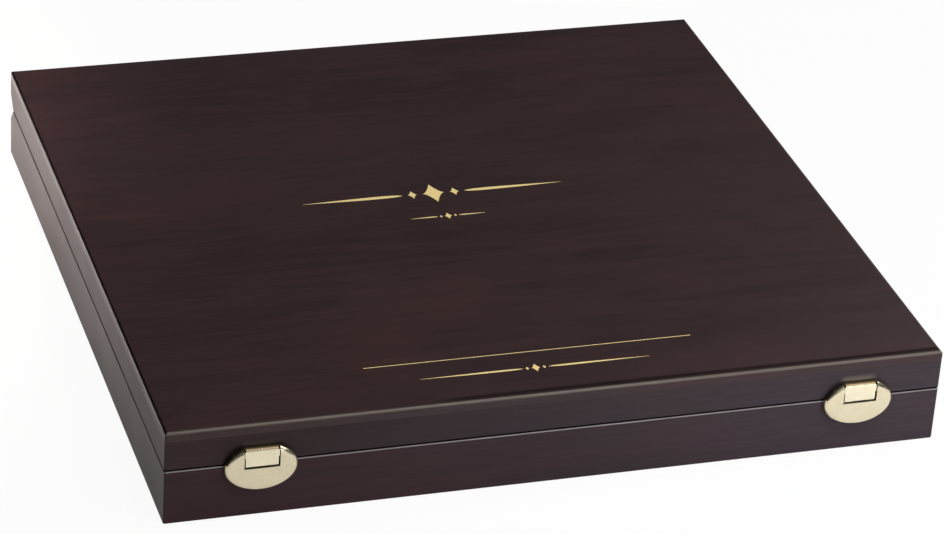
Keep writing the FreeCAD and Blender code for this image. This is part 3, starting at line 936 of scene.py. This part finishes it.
@dataclass(frozen=True)
class HingeScrews:
    """The countersunk screws of the leaves on one side of the seam, with a crossed recess in each head.

    Inset is measured from the hinge's axis down the bevel, which leans by so many degrees, and level is the
    height of the heads over the bevel.
    """

    axis_y: float
    seam: float
    hinge_places: Tuple[float, ...]
    on_lid: bool
    pitch: float = 13.0 * MM
    inset: float = 6.2 * MM
    level: float = -0.17 * MM
    lean: float = 47.615
    head_radius: float = 1.77 * MM
    head_height: float = 1.0 * MM
    shank_radius: float = 0.85 * MM
    length: float = 9.0 * MM
    straight_share: float = 0.8
    point_radius: float = 0.02 * MM
    rim_shares: Tuple[float, float] = (1.0, 0.99)
    rim_drops: Tuple[float, float] = (0.03 * MM, 0.08 * MM)
    arm_half_width: float = 0.27 * MM
    arm_reach: float = 1.12 * MM
    wall_width: float = 0.09 * MM
    slope_share: float = 0.4
    recess_depth: float = 0.55 * MM
    face_bounds: Bounds = (0.02, 0.97)
    face_rings: int = 30
    turns: int = 96
    crease: float = 30.0

    def profile(self) -> Tuple[np.ndarray, np.ndarray]:
        """Radius and height from the middle of the head, over its rounded rim, down to the point."""
        face = np.linspace(*self.face_bounds, self.face_rings)
        radii = np.concatenate([face, self.rim_shares]) * self.head_radius
        depths = np.concatenate([np.zeros_like(face), self.rim_drops])
        radii = np.append(radii, [self.shank_radius, self.shank_radius, self.point_radius])
        depths = np.append(depths, [self.head_height, self.straight_share * self.length, self.length])
        return radii, -depths

    def recess(self, x: np.ndarray, y: np.ndarray) -> np.ndarray:
        """Depth of the cross: two arms with sloping walls, each shallower towards its ends."""

        def arm(along: np.ndarray, across: np.ndarray) -> np.ndarray:
            """One inside an arm, falling to zero over its walls and towards its ends."""
            edge = self.arm_half_width + self.wall_width
            wall = np.clip((edge - np.abs(across)) / self.wall_width, 0.0, 1.0)
            end = np.clip((self.arm_reach - np.abs(along)) / (self.slope_share * self.arm_reach), 0.0, 1.0)
            return wall * end

        return self.recess_depth * np.maximum(arm(x, y), arm(y, x))

    def build(self, material: bpy.types.Material) -> None:
        """Turns the profile about each screw's axis, sinks the crosses and lays the screws on the bevel.

        Args:
            material: The brass.
        """
        angle = np.linspace(0.0, 2 * np.pi, self.turns, endpoint=False)
        radii, heights = self.profile()
        x = radii[:, None] * np.cos(angle)
        y = radii[:, None] * np.sin(angle)
        on_face = (heights == 0.0)[:, None]
        z = heights[:, None] - np.where(on_face, self.recess(x, y), 0.0) + self.level
        lean = math.radians(self.lean)
        mirror = -1.0 if self.on_lid else 1.0
        across = y + self.inset
        back = self.axis_y + across * math.cos(lean) + z * math.sin(lean)
        rise = self.seam + mirror * (z * math.cos(lean) - across * math.sin(lean))
        ring = np.arange(self.turns)
        one = grid_faces(len(radii), self.turns, True).tolist()
        one += [ring[::-1].tolist(), (ring + (len(radii) - 1) * self.turns).tolist()]
        if not self.on_lid:
            one = [face[::-1] for face in one]
        points = []
        faces = []
        places = [middle + step * self.pitch for middle in self.hinge_places for step in (-1, 0, 1)]
        for number, place in enumerate(places):
            points.append(np.stack([x + place, back, rise], axis=-1).reshape(-1, 3))
            faces += [[corner + number * x.size for corner in face] for face in one]
        body = "lid" if self.on_lid else "base"
        name = f"{body}_hinge_screws_crossed"
        piece = new_piece(name, np.concatenate(points), faces, material, self.crease)
        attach(piece, body)
        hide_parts(f"{body}_hinge_screws")
        log.info("%s: %d screws", piece.name, len(places))


@dataclass(frozen=True)
class Hardware:
    """The latches, hinges, pins, nails and screws."""

    front: float
    seam: float
    # The tab's gold is a lighter copy of the latch gold, painted lighter for the light its flat face catches.
    lit_tab_gold: Colour = (0.93, 0.87, 0.64)
    bright: Colour = (0.80, 0.735, 0.525)
    dull: Colour = (0.64, 0.57, 0.385)
    brass: Colour = (0.75, 0.60, 0.34)
    dull_brass: Colour = (0.50, 0.38, 0.20)
    steel: Colour = (0.58, 0.58, 0.60)
    dull_steel: Colour = (0.42, 0.42, 0.43)
    latch_roughness: float = 0.23
    bevel_offset: float = 13.4 * MM

    def build_latch(self, side: Side) -> None:
        """Dresses one latch.

        The notch's walls and the tab's flanks and root are painted dark, as painted shade in the gaps. The
        crown of the tab's bend is painted darker than its face, and so is the bevel at the upper left, as
        painted reflections of the dark lid. The tab's gold is painted lighter than the lever's.

        Args:
            side: Which end of the case it is on.
        """
        low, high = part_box(f"latch_{side.label}_lever")
        middle = (low.x + high.x) / 2
        # Painted shade in the gaps: the notch's walls, the tab's flanks, and the tab's root against the lid.
        notch = FrontPatch(middle, self.seam, self.front)
        flanks = FrontPatch(middle, self.seam, self.front, inner=7.8 * MM)
        root = FrontPatch(middle, self.seam, self.front, floor=9.0 * MM, top=10.0 * MM, reach=0.55 * MM)
        # Painted dark reflection across the crown of the tab's bend.
        crown = FrontPatch(
            middle, self.seam, self.front, floor=8.6 * MM, top=10.5 * MM, reach=9.0 * MM, soft=0.2 * MM,
            colour=(0.205, 0.157, 0.087), dullness=0.4,
        )
        # Painted dark reflection of the lid on the lever's upper-left bevel.
        bevel = FrontPatch(
            middle - self.bevel_offset, self.seam, self.front, outer=4.8 * MM, floor=1.5 * MM, top=12.0 * MM,
            reach=3.35 * MM, soft=0.25 * MM, colour=(0.05, 0.04, 0.025), dullness=0.5,
        )
        lever = BrushedMetal(
            f"latch_{side.label}_gold", self.bright, self.dull, self.latch_roughness, (bevel, notch),
        )
        tab = BrushedMetal(
            f"latch_{side.label}_tab_gold", self.lit_tab_gold, self.bright, self.latch_roughness,
            (crown, flanks, root),
        )
        dress([f"latch_{side.label}_lever"], lever.build())
        dress([f"latch_{side.label}_hanger"], tab.build())

    def build(self) -> None:
        """Dresses every metal piece."""
        gold = BrushedMetal("latch_gold", self.bright, self.dull).build()
        hinge = BrushedMetal("hinge_brass", self.brass, self.dull_brass, roughness=0.32).build()
        steel = BrushedMetal("spring_steel", self.steel, self.dull_steel, roughness=0.25).build()
        for side in Side:
            self.build_latch(side)
            dress([f"latch_{side.label}_{name}" for name in ("pin", "keeper")], gold)
            dress([f"hinge_{side.label}_{name}" for name in ("base_leaf", "lid_leaf", "pin")], hinge)
            dress([f"latch_{side.label}_catch_spring"], steel)
        dress(["keeper_nails", "hanger_nails"], gold)
        dress(["base_hinge_screws", "lid_hinge_screws"], hinge)
        pins = [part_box(f"hinge_{side.label}_pin") for side in Side]
        places = tuple((low.x + high.x) / 2 for low, high in pins)
        axis_y = (pins[0][0].y + pins[0][1].y) / 2
        for on_lid in (False, True):
            HingeScrews(axis_y, self.seam, places, on_lid).build(hinge)


@dataclass(frozen=True)
class Lamp:
    """A rectangular softbox."""

    name: str
    place: Tuple[float, float, float]
    aim: Tuple[float, float, float]
    size: Tuple[float, float]
    radiance: float
    spread: float = 180.0
    tint: Colour = (1.0, 1.0, 1.0)

    def build(self) -> None:
        """Adds the lamp. Its power is radiance times area times pi."""
        data = bpy.data.lights.new(self.name, "AREA")
        data.shape = "RECTANGLE"
        data.size = self.size[0]
        data.size_y = self.size[1]
        data.energy = self.radiance * math.pi * self.size[0] * self.size[1]
        data.spread = math.radians(self.spread)
        data.color = self.tint
        lamp = bpy.data.objects.new(self.name, data)
        away = np.array(self.place) - np.array(self.aim)
        away = away / np.linalg.norm(away)
        side = np.cross((0.0, 1.0, 0.0), away)
        side = side / np.linalg.norm(side)
        turn = np.stack([side, np.cross(away, side), away], axis=1)
        lamp.matrix_world = Matrix.Translation(self.place) @ Matrix(turn.tolist()).to_4x4()
        bpy.context.scene.collection.objects.link(lamp)
        log.info("%s: lamp of radiance %.2f", self.name, self.radiance)


@dataclass(frozen=True)
class Studio:
    """Floor, surroundings, lamps and camera."""

    floor_half: float = 9.0
    floor_points: int = 5
    sky: float = 0.08
    lens: float = 144.476
    sensor: float = 36.0
    eye: Tuple[float, float, float] = (-0.54215, -1.63683, 0.98318)
    right: Tuple[float, float, float] = (0.955632, -0.288328, 0.060294)
    down: Tuple[float, float, float] = (-0.091588, -0.485383, -0.869492)
    ahead: Tuple[float, float, float] = (0.279964, 0.825392, -0.490254)
    lamps: Tuple[Lamp, ...] = (
        Lamp("overhead_softbox", (0.0, 0.0, 2.4), (0.0, 0.0, 0.0), (2.2, 2.2), 1.0),
        Lamp("front_softbox", (0.67, -1.25, 1.9), (0.0, -0.2, 0.0), (1.2, 0.6), 9.0),
        Lamp("right_softbox", (1.5, 0.0, 1.4), (0.0, 0.0, 0.0), (0.8, 0.8), 5.0),
        Lamp("back_right_softbox", (1.3, 1.2, 1.0), (0.1, 0.1, 0.0), (0.9, 0.6), 0.9),
        Lamp("front_panel", (0.5, -2.2, 0.85), (0.0, -0.19, 0.03), (1.8, 1.5), 0.6),
        Lamp("right_low_softbox", (0.42, -0.85, 0.42), (0.15, -0.19, 0.03), (0.3, 0.3), 3.0),
        Lamp("left_pool", (-0.75, 0.3, 1.5), (-0.6, 0.25, 0.0), (0.35, 0.35), 29.0, 26.0, (1.0, 0.86, 0.80)),
        Lamp("right_pool", (0.35, -0.95, 1.5), (0.3, -0.62, 0.0), (0.35, 0.35), 4.0, 34.0, (1.0, 0.97, 1.06)),
    )

    def build_floor(self) -> None:
        """A level square grid under the case: x and y run evenly between the floor's edges."""
        steps = np.linspace(-self.floor_half, self.floor_half, self.floor_points)
        y, x = np.meshgrid(steps, steps, indexing="ij")
        points = np.stack([x, y, np.zeros_like(x)], axis=-1)
        faces = grid_faces(self.floor_points, self.floor_points, False)
        floor = new_piece("studio_floor", points, faces, StudioFloor().build())

    def build_world(self) -> None:
        """Plain dim grey all round."""
        world = bpy.data.worlds.new("studio_room")
        world.use_nodes = True
        background = world.node_tree.nodes["Background"]
        background.inputs["Color"].default_value = (self.sky, self.sky, self.sky, 1.0)
        background.inputs["Strength"].default_value = 1.0
        bpy.context.scene.world = world

    def build_camera(self) -> None:
        """The camera's axes are the rows of the turn found from the case's straight edges."""
        data = bpy.data.cameras.new("studio_camera")
        data.sensor_fit = "HORIZONTAL"
        data.sensor_width = self.sensor
        data.lens = self.lens
        data.clip_end = 100.0
        camera = bpy.data.objects.new("studio_camera", data)
        axes = np.stack([self.right, -np.array(self.down), -np.array(self.ahead)], axis=1)
        camera.matrix_world = Matrix.Translation(self.eye) @ Matrix(axes.tolist()).to_4x4()
        bpy.context.scene.collection.objects.link(camera)
        bpy.context.scene.camera = camera

    def build(self) -> None:
        """Sets up the whole studio."""
        self.build_floor()
        self.build_world()
        self.build_camera()
        for lamp in self.lamps:
            lamp.build()
        bpy.context.scene.view_settings.view_transform = "Standard"


def main() -> None:
    """Builds and dresses the case, then the studio."""
    logging.basicConfig(level=logging.INFO, format="%(name)s %(message)s")
    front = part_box("base_front_board")[0].y
    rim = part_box("base_front_board")[1].z
    seam = (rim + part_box("lid_front_board")[0].z) / 2
    low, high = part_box("lid_top_panel")
    top = high.z
    CaseBody(front, low.x, high.y, top, rim, seam).build()
    Hardware(front, seam).build()
    LidFoil(top).build()
    Studio().build()


if __name__ == "__main__":
    main()
